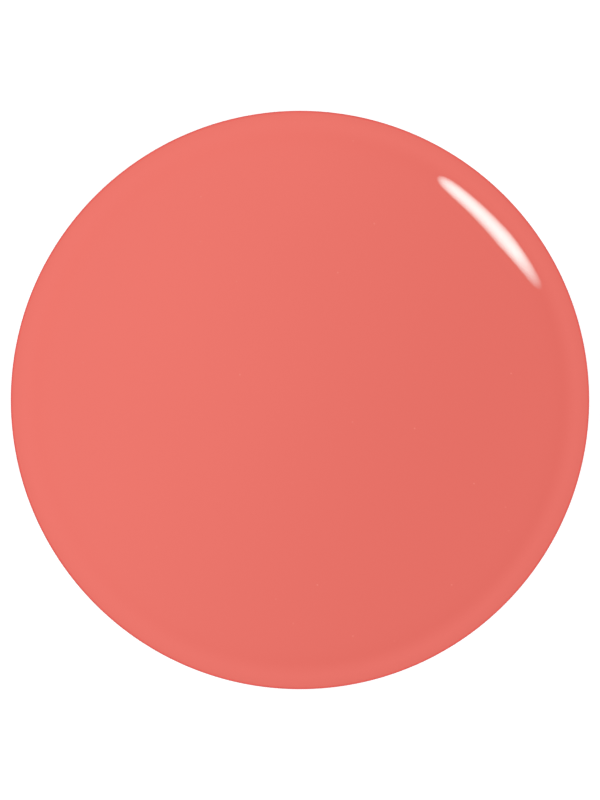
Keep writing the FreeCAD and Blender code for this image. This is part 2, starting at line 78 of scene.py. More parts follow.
# In millimetres, heights from the base. A thread has the height where it starts, its width at the
# root and at the crest, its height off the wall and the spacing of its mesh rows.
SHOULDER = {"height": 40.0, "round": 1.5}
HEEL_ROUND = 1.6
PUNT = {"radius": 11.5, "depth": 0.8, "round": 0.3}
CAVITY = {"floor_round": 4.0, "top": 36.0, "top_round": 3.0, "throat": 38.2, "throat_round": 1.2}
NECK = {"radius": 6.55, "bore": 4.2, "root_round": 0.8, "lip_round": 0.5}
SEAT_GAP = 0.02
WETTING_OVERLAP = 0.04
MENISCUS = {"height": 0.35, "width": 1.0, "steps": 8}
THREAD_PITCH = 2.117
THREAD_TURNS = 1.5
THREAD_FADE = math.radians(25)
NECK_THREAD = {"start": 49.0745, "root": 1.32, "crest": 0.6, "height": 0.75, "row": 0.04}
CAP_THREAD = {"start": 48.016, "root": 1.08, "crest": 0.5, "height": 0.77, "row": 0.08}
INNER_CAP = {"radius": 9.6, "bore": 7.45, "well": 8.3, "web": 55.86, "web_top": 57.26, "round": 0.3}
BOSS = {"radius": 4.8, "socket": 3.02, "socket_top": 61.86, "top": 62.86}
GRIP_RIBS = {"count": 36, "height": 0.18, "width": 0.8, "margin": 1.0, "fade": 0.5, "fade_rows": 4}
SHELL = {"wall": 1.3, "ceiling": 1.8, "hole": 3.05}
SHELL_ROUNDS = {"outside": 0.4, "inside": 1.0, "mouth": 0.15}
STEM = {"spigot": 3.0, "chamfer": 0.5, "flange": 1.0, "root": 2.2, "tip": 1.75}
STEM_BORE = {"radius": 1.2, "depth": 7.0, "round": 0.08}
STEM_ROUNDS = {"tip": 0.2, "root": 0.5, "flange": 0.2}
TUFT = {"packed": 1.13, "belly": 1.78, "belly_height": 13.5, "tip": 1.0, "hidden": 2.0}
BRISTLES = {"count": 300, "radius": 0.045, "end_taper": 0.55, "sides": 6, "rows": 14}
BRISTLE_ENDS = {"outer_shorter": 1.3, "uneven": 0.25, "uneven_step": 0.618}
BRISTLE_LEAN = {"reach": 0.05, "step": 2.4}
BRUSH_COAT = {"bare": 4.5, "closing": 1.6, "proud": 1.02, "rows": 72}
COAT_GROOVES = {"share": 0.018, "fade": 3.0}
COAT_END = {"below_top": 2.2, "length": 0.9, "sunk": 0.5}
COAT_TONGUES = ((0.5, 5, 0.0), (0.3, 11, 1.0), (0.35, 17, 0.0))

# The button's top is an edge round, a wider bend and a nearly flat crown. The tilts are its slopes,
# in degrees, where the edge meets the bend and where the bend meets the crown.
DOME = {"wall": 0.9, "coat": 0.25, "edge": 0.45, "edge_tilt": 52.0, "bend": 3.6, "crown_tilt": 3.3}
CROWN_STEPS = 24

# ---------------------------------------------------------------- colours

CORAL = (0.76, 0.146, 0.1175)
# Painted light and painted shade: the coated face's colour on its lighter and its darker side. The
# face's random clouds also use a darker copy of the darker one.
CORAL_PAINTED_LIGHT = (0.795, 0.161, 0.130)
CORAL_SHADE_AND_CLOUD = (0.727, 0.1355, 0.1085)
# Paler coral of a ring of painted light just inside the face's rim.
CORAL_RIM_PAINTED_LIGHT = (0.80, 0.172, 0.142)
CORAL_EDGE = (0.80, 0.10, 0.085)
CORAL_GRAIN = (0.80, 0.24, 0.19)
GLASS = (0.985, 0.992, 0.99)
GLASS_SHADOW = (0.965, 0.975, 0.972)
GLOSS_BLACK = (0.011, 0.011, 0.012)
SMUDGED_BLACK = (0.013, 0.013, 0.014)
BUTTON_BLACK = (0.02, 0.02, 0.022)
SATIN_BLACK = (0.022, 0.022, 0.024)
NATURAL = (0.74, 0.74, 0.72)
MILKY = (0.78, 0.78, 0.76)
STEEL_GROOVE = (0.52, 0.52, 0.53)
STEEL_RIDGE = (0.64, 0.64, 0.65)
FOAM_WALL = (0.8, 0.8, 0.77)
# Painted shade in the foam's cell hollows.
FOAM_HOLLOW_SHADE = (0.62, 0.61, 0.58)
LABEL_LOW = (0.8, 0.8, 0.79)
LABEL_HIGH = (0.87, 0.87, 0.86)
TABLE = (0.86, 0.86, 0.86)
WHITE = (1.0, 1.0, 1.0)

# Coral face, in millimetres: painted light makes it lighter towards one side over a reach either
# way from the axis, then a paler ring of painted light and then a deeper coral, each between two
# depths inside the rim.
LIT_SIDE = math.radians(160)
FACE_TONES = {"reach": 11.0, "rim_painted_light": (1.6, 0.6), "edge": (0.16, 0.02)}
# Share of the rim ring's painted light where it is strongest.
RIM_PAINTED_LIGHT_SHARE = 0.6

# ---------------------------------------------------------------- studio settings

# Lights: angles in degrees, the azimuth from +X towards +Y; lengths in metres.
KEY = {"azimuth": 150, "elevation": 60, "distance": 0.9, "size": (1.0, 1.0), "radiance": 0.2}
STRIPS = {
    "strip_left": {"azimuth": 240, "size": (0.11, 0.6), "radiance": 9.0},
    "strip_right": {"azimuth": 40, "size": (0.06, 0.6), "radiance": 7.0},
}
STRIP_PLACE = {"elevation": 0, "distance": 0.34}
STRIP_TARGET = Vector((0, 0, -0.12))
STRIP_FADES = {"side": 0.25, "end": 0.05}

# Soft box that the coated face mirrors as a crescent, in angles as the face sees it. half_heights
# pairs azimuths with half heights. The tint takes out red, of which coral has plenty, so that the
# crescent's soft edge isn't pink.
CRESCENT = {
    "azimuth": 41.5,
    "elevation": 43.0,
    "distance": 0.5,
    "size": (0.38, 0.42),
    "half_width": 16.9,
    "half_heights": ((28.5, 12.3), (38.0, 16.8), (58.0, 12.2)),
    "end_power": 9.5,
    "bow_azimuth": 45.0,
    "bow": 0.023,
    "dimming": (22.0, 34.0),
    "radiance": 19.6,
    "tint": (0.45, 1.0, 0.98),
}

# The world's brightness at two heights of a direction, from -1 straight down to 1 straight up, and
# behind the object.
SKY = {"heights": (0.0, 0.8), "levels": (1.02, 1.06)}
MIRRORED_STUDIO = {"heights": (-0.3, 0.9), "levels": (0.06, 0.45)}
BACKDROP = 1.05

# The floor's reach and even glow, and the width in metres of its painted contact shadow.
FLOOR = {"reach": 3.0, "glow": 0.28, "painted_shadow_width": 7 * MM}
CAMERA = {"lens": 150, "sensor": 36, "near": 0.01, "face_share": 0.964}
PICTURE_RATIO = 600 / 800


def box_mm(node):
    """Lowest and highest corner of a CAD node, in millimetres."""
    low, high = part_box(node)
    return low / MM, high / MM


# ---------------------------------------------------------------- turned meshes


def smooth(value):
    """0 to 1 with soft ends."""
    held = min(max(value, 0.0), 1.0)
    return held * held * (3 - 2 * held)


def arc_steps(radius, sweep):
    """Number of chords that keep to an arc of that sweep, in radians, within the chord error."""
    step = 2 * math.acos(1 - CHORD_ERROR / radius)
    return max(FEWEST_CHORDS, math.ceil(abs(sweep) / step))


def arc(centre, radius, first, last):
    """Points on an arc about (r, z); angles in degrees from +r towards +z."""
    steps = arc_steps(radius, math.radians(last - first))
    points = []
    for step in range(steps + 1):
        angle = math.radians(first + (last - first) * step / steps)
        points.append((centre[0] + radius * math.cos(angle), centre[1] + radius * math.sin(angle)))
    return points


def rounded(corners):
    """Outline through (r, z) or (r, z, radius) corners, each radius made an arc."""
    outline = []
    for i, corner in enumerate(corners):
        here = Vector(corner[:2])
        if len(corner) == 2:
            outline.append(tuple(here))
            continue
        back = (Vector(corners[i - 1][:2]) - here).normalized()
        ahead = (Vector(corners[(i + 1) % len(corners)][:2]) - here).normalized()
        half = back.angle(ahead) / 2
        centre = here + (back + ahead).normalized() * (corner[2] / math.sin(half))
        first = here + back * (corner[2] / math.tan(half)) - centre
        last = here + ahead * (corner[2] / math.tan(half)) - centre
        sweep = math.pi - 2 * half
        steps = arc_steps(corner[2], sweep)
        for step in range(steps + 1):
            share = step / steps
            before, after = math.sin((1 - share) * sweep), math.sin(share * sweep)
            outline.append(tuple(centre + (first * before + last * after) / math.sin(sweep)))
    return outline


def on_wall(radius, wall):
    """Whether a point of an outline lies on the wall of that radius."""
    return abs(radius - wall) < SAME_RADIUS


def with_rows(outline, wall, heights):
    """The outline with points added at these rising heights where it runs along a wall."""
    dense = []
    for i, point in enumerate(outline):
        dense.append(point)
        following = outline[(i + 1) % len(outline)]
        if not (on_wall(point[0], wall) and on_wall(following[0], wall)):
            continue
        low, high = sorted((point[1], following[1]))
        inside = [(wall, height) for height in heights if low < height < high]
        if point[1] > following[1]:
            inside.reverse()
        dense += inside
    return dense


def turned_mesh(name, outline, columns=COLUMNS, shape=None):
    """Turns a closed (r, z) outline about Z. shape(angle, r, z) gives a point's own radius."""
    mesh = bmesh.new()
    rows = []
    for radius, height in outline:
        if on_wall(radius, 0.0):
            rows.append([mesh.verts.new((0, 0, height * MM))])
            continue
        row = []
        for column in range(columns):
            angle = FULL_TURN * column / columns
            reach = shape(angle, radius, height) if shape else radius
            spot = Vector((reach * math.cos(angle), reach * math.sin(angle), height)) * MM
            row.append(mesh.verts.new(spot))
        rows.append(row)
    for row, following in zip(rows, rows[1:] + rows[:1]):
        if len(row) == 1 and len(following) == 1:
            continue
        for column in range(columns):
            after = (column + 1) % columns
            ring = [row[column % len(row)], row[after % len(row)]]
            ring += [following[after % len(following)], following[column % len(following)]]
            corners = list(dict.fromkeys(ring))
            mesh.faces.new(corners)
    bmesh.ops.recalc_face_normals(mesh, faces=mesh.faces)
    return mesh_data(name, mesh)


def mesh_data(name, mesh):
    """Mesh data made from a bmesh, which is freed."""
    data = bpy.data.meshes.new(name)
    mesh.to_mesh(data)
    mesh.free()
    return data


def finish_mesh(name, mesh, body, material):
    """Shades a mesh, gives it its material and puts it on its body."""
    mesh.validate()
    mesh.shade_smooth()
    mesh.set_sharp_from_angle(angle=SHARP_EDGE)
    piece = bpy.data.objects.new(name, mesh)
    bpy.context.scene.collection.objects.link(piece)
    piece.data.materials.append(material)
    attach(piece, body)
    return piece


# ---------------------------------------------------------------- threads and grip ribs


def thread_rise(thread, angle, height):
    """Share of the thread's full height at this place on the wall it winds round."""
    rise = 0.0
    last = THREAD_TURNS * FULL_TURN
    for turn in range(math.ceil(THREAD_TURNS)):
        wound = angle + turn * FULL_TURN
        if wound > last:
            continue
        off = abs(height - thread["start"] - THREAD_PITCH * wound / FULL_TURN)
        flank = (thread["root"] / 2 - off) / ((thread["root"] - thread["crest"]) / 2)
        ends = min(wound, last - wound) / THREAD_FADE
        rise = max(rise, smooth(flank) * smooth(ends))
    return rise


def thread_span(thread):
    """Lowest and highest height that the thread reaches."""
    margin = thread["root"] / 2 + thread["row"]
    return thread["start"] - margin, thread["start"] + THREAD_PITCH * THREAD_TURNS + margin


def thread_heights(thread):
    """Heights of the close rows that a thread needs."""
    bottom, top = thread_span(thread)
    count = round((top - bottom) / thread["row"])
    return [bottom + (top - bottom) * k / count for k in range(count + 1)]


def rib_heights(first, last):
    """Heights of the rows where the grip ribs rise and fall."""
    steps = GRIP_RIBS["fade_rows"]
    fade = [GRIP_RIBS["fade"] * k / steps for k in range(steps + 1)]
    return [first + step for step in fade] + [last - step for step in reversed(fade)]


def rib_rise(angle, height, first, last):
    """Share of a grip rib's height at this place on the cap's outside."""
    spacing = FULL_TURN / GRIP_RIBS["count"]
    off = abs((angle + spacing / 2) % spacing - spacing / 2) * INNER_CAP["radius"]
    across = smooth((GRIP_RIBS["width"] / 2 - off) / (GRIP_RIBS["width"] / 4))
    along = smooth(min(height - first, last - height) / GRIP_RIBS["fade"])
    return across * along


# ---------------------------------------------------------------- node materials

# Places of a Mix node's inputs and output when it mixes colours.
MIX_SHARE, MIX_FIRST, MIX_SECOND = 0, 6, 7
MIX_RESULT = 2

# Values of a noise between which most of it lies.
NOISE_SPAN = (0.3, 0.7)


def new_material(name):
    """A material with one Principled node, and that node."""
    material = bpy.data.materials.new(name)
    material.use_nodes = True
    return material, material.node_tree.nodes["Principled BSDF"]


def add(owner, kind, inputs=None, **settings):
    """Adds a node to a tree, or beside another node. Settings are its own, inputs are for feed."""
    tree = owner.id_data if isinstance(owner, bpy.types.Node) else owner
    node = tree.nodes.new(kind)
    for setting, value in settings.items():
        setattr(node, setting, value)
    feed(node, inputs or {})
    return node


def feed(node, inputs):
    """Sets a node's inputs to numbers, tuples or the sockets that feed them."""
    for name, value in inputs.items():
        if isinstance(value, bpy.types.NodeSocket):
            node.id_data.links.new(value, node.inputs[name])
        else:
            node.inputs[name].default_value = value


def opaque(colour):
    """The colour with full alpha, as a socket takes it."""
    return (*colour, 1.0)


def shaded(colour, share):
    """The colour made lighter (share over 1) or darker."""
    return tuple(min(channel * share, 1.0) for channel in colour)


def place(owner):
    """Object coordinates, which are the row frame in metres."""
    return add(owner, "ShaderNodeTexCoord").outputs["Object"]


def noise(owner, scale, detail=2.0, roughness=0.5, where=None):
    """Noise between 0 and 1; scale is in features a metre."""
    inputs = {
        "Vector": where or place(owner),
        "Scale": scale,
        "Detail": detail,
        "Roughness": roughness,
    }
    return add(owner, "ShaderNodeTexNoise", inputs).outputs["Fac"]


def maths(owner, operation, first, second=0.0, third=0.0):
    """Result of a maths node."""
    values = {0: first, 1: second, 2: third}
    return add(owner, "ShaderNodeMath", values, operation=operation).outputs[0]


def vector_maths(owner, operation, first, second=(0.0, 0.0, 0.0)):
    """A vector maths node; its result is the output Vector or Value."""
    return add(owner, "ShaderNodeVectorMath", {0: first, 1: second}, operation=operation)


def ramp(owner, value, limits=(0.0, 1.0), results=(0.0, 1.0), smooth_ends=False):
    """Maps a value from two limits to two results, and holds it outside them."""
    kind = "SMOOTHSTEP" if smooth_ends else "LINEAR"
    inputs = {
        "Value": value,
        "From Min": limits[0],
        "From Max": limits[1],
        "To Min": results[0],
        "To Max": results[1],
    }
    return add(owner, "ShaderNodeMapRange", inputs, interpolation_type=kind).outputs["Result"]


def blend(owner, share, first, second):
    """Mixes two colours; each is a tuple or a socket."""
    inputs = {MIX_SHARE: share}
    for index, colour in ((MIX_FIRST, first), (MIX_SECOND, second)):
        inputs[index] = opaque(colour) if isinstance(colour, tuple) else colour
    return add(owner, "ShaderNodeMix", inputs, data_type="RGBA").outputs[MIX_RESULT]


def bump(shader, value, depth, strength=1.0):
    """Gives the shader a relief of that depth in metres."""
    inputs = {"Height": value, "Distance": depth, "Strength": strength}
    feed(shader, {"Normal": add(shader, "ShaderNodeBump", inputs).outputs["Normal"]})


def radius_of(owner):
    """Distance from the bottle's axis, in metres."""
    flat = vector_maths(owner, "MULTIPLY", place(owner), (1.0, 1.0, 0.0))
    return vector_maths(owner, "LENGTH", flat.outputs[0]).outputs["Value"]


def height_of(owner):
    """Height above the base, in metres."""
    return add(owner, "ShaderNodeSeparateXYZ", {0: place(owner)}).outputs["Z"]


def inside_rim(depths):
    """Radii at these depths, in millimetres, inside the coated face's rim."""
    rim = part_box("shade_lacquer")[1].x
    return tuple(rim - depth * MM for depth in depths)


def pale_grains(shader):
    """Share of grain colour: small round spots in a few of many cells."""
    grains = add(shader, "ShaderNodeTexVoronoi", {"Vector": place(shader), "Scale": 1000.0})
    spot = ramp(shader, grains.outputs["Distance"], (0.03, 0.06), (1.0, 0.0))
    chosen = add(shader, "ShaderNodeSeparateColor", {"Color": grains.outputs["Color"]})
    rare = ramp(shader, chosen.outputs["Red"], (0.4, 0.9), (0.0, 0.5))
    return maths(shader, "MULTIPLY", spot, rare)


def dried_lacquer():
    """Coral cream under a clear gloss, with rare pale grains. Painted light and shade make it a
    little lighter on one side and darker on the other, and a paler ring of painted light lies
    inside the rim."""
    material, shader = new_material("dried_lacquer")
    reach = FACE_TONES["reach"] * MM
    # Painted light and shade: lighter towards one side, darker towards the other.
    lit_side = (math.cos(LIT_SIDE), math.sin(LIT_SIDE), 0.0)
    across = vector_maths(shader, "DOT_PRODUCT", place(shader), lit_side).outputs["Value"]
    painted_light_share = ramp(shader, across, (-reach, reach), smooth_ends=True)
    colour = blend(shader, painted_light_share, CORAL_SHADE_AND_CLOUD, CORAL_PAINTED_LIGHT)
    cloudy = ramp(shader, noise(shader, 120, detail=3.0), NOISE_SPAN, (0.0, 0.06))
    colour = blend(shader, cloudy, colour, shaded(CORAL_SHADE_AND_CLOUD, 0.9))
    colour = blend(shader, pale_grains(shader), colour, CORAL_GRAIN)
    radius = radius_of(shader)
    # Painted light: a paler ring just inside the rim.
    ring = inside_rim(FACE_TONES["rim_painted_light"])
    rim_painted_light = ramp(shader, radius, ring, (0.0, RIM_PAINTED_LIGHT_SHARE), smooth_ends=True)
    colour = blend(shader, rim_painted_light, colour, CORAL_RIM_PAINTED_LIGHT)
    edge = ramp(shader, radius, inside_rim(FACE_TONES["edge"]))
    colour = blend(shader, edge, colour, CORAL_EDGE)
    bump(shader, noise(shader, 260, detail=1.0), 0.0006 * MM)
    feed(
        shader,
        {
            "Base Color": colour,
            "Roughness": 0.35,
            "Specular IOR Level": 0.0,
            "Coat Weight": 1.0,
            "Coat Roughness": ramp(shader, noise(shader, 90), NOISE_SPAN, (0.012, 0.03)),
        },
    )
    return material


def wet_lacquer(name, glossy_above):
    """The same cream while wet, with slow swirls of pigment. It shines only above that height in
    metres: lower down it wets the glass, and no surface is left between them to shine."""
    material, shader = new_material(name)
    inputs = {"Vector": place(shader), "Scale": 45.0, "Detail": 4.0, "Distortion": 2.5}
    swirl = add(shader, "ShaderNodeTexNoise", inputs).outputs["Fac"]
    share = ramp(shader, swirl, (0.35, 0.7))
    surface = (glossy_above - 0.1 * MM, glossy_above)
    feed(
        shader,
        {
            "Base Color": blend(shader, share, shaded(CORAL, 0.93), shaded(CORAL, 1.03)),
            "Roughness": 0.3,
            "Specular IOR Level": 0.0,
            "Coat Weight": ramp(shader, height_of(shader), surface),
            "Coat Roughness": 0.02,
        },
    )
    return material


def clear_glass():
    """Flint glass with the slow waves of a moulded wall. Lamps reach what is inside it."""
    material, shader = new_material("clear_glass")
    feed(
        shader,
        {
            "Base Color": opaque(GLASS),
            "Roughness": ramp(shader, noise(shader, 60), (0.45, 0.8), (0.0, 0.03)),
            "Transmission Weight": 1.0,
            "IOR": 1.51,
        },
    )
    bump(shader, noise(shader, 70, detail=1.0), 0.03 * MM)
    tree = material.node_tree
    shadow = add(tree, "ShaderNodeLightPath").outputs["Is Shadow Ray"]
    clear = add(tree, "ShaderNodeBsdfTransparent", {"Color": opaque(GLASS_SHADOW)})
    mix = add(tree, "ShaderNodeMixShader", {0: shadow, 1: shader.outputs[0], 2: clear.outputs[0]})
    feed(tree.nodes["Material Output"], {"Surface": mix.outputs[0]})
    return material


def gloss_plastic():
    """Polished black ABS with faint smudges and the slight ripple of a moulding."""
    material, shader = new_material("gloss_black_plastic")
    smudge = ramp(shader, noise(shader, 95, detail=4.0, roughness=0.6), (0.4, 0.75))
    feed(
        shader,
        {
            "Base Color": blend(shader, smudge, GLOSS_BLACK, SMUDGED_BLACK),
            "Roughness": ramp(shader, smudge, results=(0.06, 0.13)),
            "Coat Weight": 0.4,
            "Coat Roughness": 0.03,
        },
    )
    bump(shader, noise(shader, 420), 0.0015 * MM)
    return material


def satin_plastic(name, colour, roughness, grain):
    """Spark-eroded polypropylene: an even fine grain, a little worn in places."""
    material, shader = new_material(name)
    worn = ramp(shader, noise(shader, 130, detail=3.0), (0.35, 0.7))
    feed(
        shader,
        {
            "Base Color": blend(shader, worn, shaded(colour, 0.94), shaded(colour, 1.05)),
            "Roughness": ramp(shader, worn, results=(roughness, roughness + 0.12)),
        },
    )
    bump(shader, noise(shader, 5200), grain)
    return material


def stem_plastic(wetted_to):
    """Milky polyethylene, coated with lacquer up to a ragged line where it was dipped."""
    material, shader = new_material("stem_plastic")
    ragged = ramp(shader, noise(shader, 420, detail=3.0), NOISE_SPAN, (-0.9 * MM, 0.9 * MM))
    line = maths(shader, "ADD", height_of(shader), ragged)
    wet = ramp(shader, line, (wetted_to - 0.15 * MM, wetted_to + 0.15 * MM), (1.0, 0.0))
    feed(
        shader,
        {
            "Base Color": blend(shader, wet, MILKY, CORAL),
            "Roughness": ramp(shader, wet, results=(0.38, 0.16)),
            "Coat Weight": wet,
            "Coat Roughness": 0.03,
        },
    )
    bump(shader, wet, 0.06 * MM)
    return material


def turned_steel():
    """Bright steel with fine lathe rings."""
    material, shader = new_material("turned_steel")
    inputs = {"Vector": place(shader), "Scale": 900.0, "Distortion": 0.6, "Detail": 2.0}
    bands = {"wave_type": "BANDS", "bands_direction": "Z"}
    ringed = add(shader, "ShaderNodeTexWave", inputs, **bands).outputs["Fac"]
    feed(
        shader,
        {
            "Base Color": blend(shader, ringed, STEEL_GROOVE, STEEL_RIDGE),
            "Metallic": 1.0,
            "Roughness": ramp(shader, ringed, results=(0.22, 0.34)),
        },
    )
    bump(shader, ringed, 0.003 * MM)
    return material


def seal_foam():
    """Closed-cell foam: small round cells in a soft white sheet, with painted shade in their
    hollows.
    """
    material, shader = new_material("seal_foam")
    cells = add(shader, "ShaderNodeTexVoronoi", {"Vector": place(shader), "Scale": 4200.0})
    hollow = ramp(shader, cells.outputs["Distance"], (0.1, 0.6))
    # Painted shade: the cells' hollows are darker.
    feed(
        shader,
        {
            "Base Color": blend(shader, hollow, FOAM_WALL, FOAM_HOLLOW_SHADE),
            "Roughness": 0.85,
        },
    )
    bump(shader, hollow, 0.04 * MM, strength=0.8)
    return material


def label_film():
    """Matt white film with a faint tooth."""
    material, shader = new_material("label_film")
    tooth = noise(shader, 2600, detail=4.0)
    feed(
        shader,
        {
            "Base Color": blend(shader, tooth, LABEL_LOW, LABEL_HIGH),
            "Roughness": ramp(shader, tooth, (0.2, 0.8), (0.5, 0.65)),
        },
    )
    bump(shader, tooth, 0.004 * MM)
    return material


def wet_nylon():
    """Nylon bristles stained coral by the lacquer that clings to them."""
    material, shader = new_material("wet_nylon")
    streaks = vector_maths(shader, "MULTIPLY", place(shader), (1.0, 1.0, 0.04)).outputs[0]
    share = ramp(shader, noise(shader, 5200, where=streaks), NOISE_SPAN)
    feed(
        shader,
        {
            "Base Color": blend(shader, share, shaded(CORAL, 0.62), CORAL),
            "Roughness": ramp(shader, share, results=(0.3, 0.2)),
            "Coat Weight": 0.7,
            "Coat Roughness": 0.08,
        },
    )
    return material


# ---------------------------------------------------------------- bottle and lacquer


def make_glass_bottle():
    """The moulded bottle: recessed base, round heel and shoulder, and a threaded neck."""
    low, high = box_mm("glass_bottle")
    outer, lip = high.x, high.z
    cavity = box_mm("nail_lacquer")[1].x + SEAT_GAP
    floor = box_mm("nail_lacquer")[0].z - SEAT_GAP
    outline = rounded(
        [
            (0, PUNT["depth"]),
            (PUNT["radius"], PUNT["depth"], PUNT["round"]),
            (PUNT["radius"], low.z, PUNT["round"]),
            (outer, low.z, HEEL_ROUND),
            (outer, SHOULDER["height"], SHOULDER["round"]),
            (NECK["radius"], SHOULDER["height"], NECK["root_round"]),
            (NECK["radius"], lip, NECK["lip_round"]),
            (NECK["bore"], lip, NECK["lip_round"]),
            (NECK["bore"], CAVITY["throat"], CAVITY["throat_round"]),
            (cavity, CAVITY["top"], CAVITY["top_round"]),
            (cavity, floor, CAVITY["floor_round"]),
            (0, floor),
        ]
    )
    outline = with_rows(outline, NECK["radius"], thread_heights(NECK_THREAD))
    bottom, top = thread_span(NECK_THREAD)

    def threaded(angle, radius, height):
        if on_wall(radius, NECK["radius"]) and bottom < height < top:
            return radius + NECK_THREAD["height"] * thread_rise(NECK_THREAD, angle, height)
        return radius

    mesh = turned_mesh("clear_bottle", outline, shape=threaded)
    piece = finish_mesh("clear_bottle", mesh, "bottle", clear_glass())
    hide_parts("glass_bottle")


def make_liquid():
    """The lacquer wets the glass, creeps up it a little, and closes over when the brush is out. It
    reaches a hair into the glass, so that no film of air is left between them."""
    low, high = box_mm("nail_lacquer")
    past_cad = SEAT_GAP + WETTING_OVERLAP
    wet = high.x + past_cad
    floor = low.z - past_cad
    level = high.z
    creep = MENISCUS["height"]
    outline = rounded([(0, floor), (wet, floor, CAVITY["floor_round"]), (wet, level + creep)])
    for step in range(1, MENISCUS["steps"] + 1):
        share = step / MENISCUS["steps"]
        outline.append((wet - MENISCUS["width"] * share, level + creep * (1 - share) ** 2))
    outline.append((0, level))
    mesh = turned_mesh("liquid_lacquer", outline)
    material = wet_lacquer("liquid_lacquer", level * MM)
    piece = finish_mesh("liquid_lacquer", mesh, "bottle", material)
    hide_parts("nail_lacquer")


# ---------------------------------------------------------------- brush


def make_stem():
    """The tapered stem with its flange above the seal and its plug in the inner cap."""
    low, high = box_mm("brush_stem")
    flange_bottom = box_mm("lip_seal")[1].z + SEAT_GAP
    flange_top = flange_bottom + STEM["flange"]
    bore_top = low.z + STEM_BORE["depth"]
    outline = rounded(
        [
            (0, bore_top),
            (STEM_BORE["radius"], bore_top),
            (STEM_BORE["radius"], low.z, STEM_BORE["round"]),
            (STEM["tip"], low.z, STEM_ROUNDS["tip"]),
            (STEM["root"], flange_bottom, STEM_ROUNDS["root"]),
            (high.x, flange_bottom, STEM_ROUNDS["flange"]),
            (high.x, flange_top, STEM_ROUNDS["flange"]),
            (STEM["spigot"], flange_top),
            (STEM["spigot"], high.z - STEM["chamfer"]),
            (STEM["spigot"] - STEM["chamfer"], high.z),
            (0, high.z),
        ]
    )
    mesh = turned_mesh("stem_moulding", outline)
    wetted_to = box_mm("nail_lacquer")[1].z * MM
    piece = finish_mesh("stem_moulding", mesh, "screw_cap", stem_plastic(wetted_to))
    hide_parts("brush_stem")


def tuft_spread(height, ferrule, tip):
    """How far the tuft has spread at this height, as a share of its width in the ferrule."""
    belly = TUFT["belly"] / TUFT["packed"]
    point = TUFT["tip"] / TUFT["packed"]
    widest = TUFT["belly_height"]
    if height > ferrule:
        return 1.0
    if height > widest:
        return 1 + (belly - 1) * smooth((ferrule - height) / (ferrule - widest))
    return belly + (point - belly) * smooth((widest - height) / (widest - tip))


def add_tube(mesh, sections, sides):
    """Adds a closed upright tube through sections: each its middle, height and radius."""
    rings = []
    for middle, height, radius in sections:
        ring = []
        for side in range(sides):
            angle = FULL_TURN * side / sides
            x, y = middle.x + radius * math.cos(angle), middle.y + radius * math.sin(angle)
            ring.append(mesh.verts.new(Vector((x, y, height)) * MM))
        rings.append(ring)
    for ring, following in zip(rings, rings[1:]):
        for side in range(sides):
            after = (side + 1) % sides
            mesh.faces.new((ring[side], ring[after], following[after], following[side]))
    mesh.faces.new(rings[0][::-1])
    mesh.faces.new(rings[-1])


def make_filaments():
    """The bristles one by one, on a sunflower spiral, longer towards the middle of the tuft."""
    count, rows = BRISTLES["count"], BRISTLES["rows"]
    golden_angle = math.pi * (3 - math.sqrt(5))
    ferrule = box_mm("brush_stem")[0].z
    tip = box_mm("brush_bristles")[0].z
    top = ferrule + TUFT["hidden"]
    mesh = bmesh.new()
    for number in range(count):
        share = math.sqrt((number + 0.5) / count)
        turn = number * golden_angle
        from_axis = share * (TUFT["packed"] - BRISTLES["radius"])
        home = Vector((math.cos(turn), math.sin(turn))) * from_axis
        uneven = BRISTLE_ENDS["uneven"] * (number * BRISTLE_ENDS["uneven_step"] % 1)
        end = tip + BRISTLE_ENDS["outer_shorter"] * share**3 + uneven
        lean = BRISTLE_LEAN["reach"] * math.sin(number * BRISTLE_LEAN["step"])
        sections = []
        for row in range(rows + 1):
            height = end + (top - end) * row / rows
            sway = lean * smooth((ferrule - height) / (ferrule - end))
            middle = home * tuft_spread(height, ferrule, tip) + Vector((sway, -sway))
            radius = BRISTLES["radius"] * (BRISTLES["end_taper"] if row == 0 else 1.0)
            sections.append((middle, height, radius))
        add_tube(mesh, sections, BRISTLES["sides"])
    data = mesh_data("brush_filaments", mesh)
    piece = finish_mesh("brush_filaments", data, "screw_cap", wet_nylon())
    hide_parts("brush_bristles")


def waves(angle, parts):
    """Sum of waves round the axis, each given as its size, its number in a turn and its phase."""
    return sum(size * math.sin(number * angle + phase) for size, number, phase in parts)


def make_brush_coat():
    """Lacquer that the tuft carries: a wet skin over its lower part, grooved by the bristles, that
    ends in uneven tongues sinking in between them."""
    ferrule = box_mm("brush_stem")[0].z
    tip = box_mm("brush_bristles")[0].z
    top = ferrule - BRUSH_COAT["bare"]
    rows = BRUSH_COAT["rows"]
    outline = [(0, tip)]
    for row in range(1, rows + 1):
        height = tip + (top - tip) * row / rows
        close = math.sqrt(smooth((height - tip) / BRUSH_COAT["closing"]))
        outline.append((TUFT["packed"] * tuft_spread(height, ferrule, tip) * close, height))
    outline.append((0, top))

    def grooved(angle, radius, height):
        groove = waves(angle, ((1.0, 23, 0.5 * math.sin(height)), (0.6, 37, 0.4 * height)))
        groove *= COAT_GROOVES["share"] * smooth((height - tip) / COAT_GROOVES["fade"])
        end = top - COAT_END["below_top"] + waves(angle, COAT_TONGUES)
        sunk = COAT_END["sunk"] * smooth((height - end) / COAT_END["length"])
        return radius * (1 - sunk) * (BRUSH_COAT["proud"] + groove)

    mesh = turned_mesh("brush_lacquer", outline, shape=grooved)
    material = wet_lacquer("brush_lacquer", 0.0)
    finish_mesh("brush_lacquer", mesh, "screw_cap", material)


# ---------------------------------------------------------------- caps


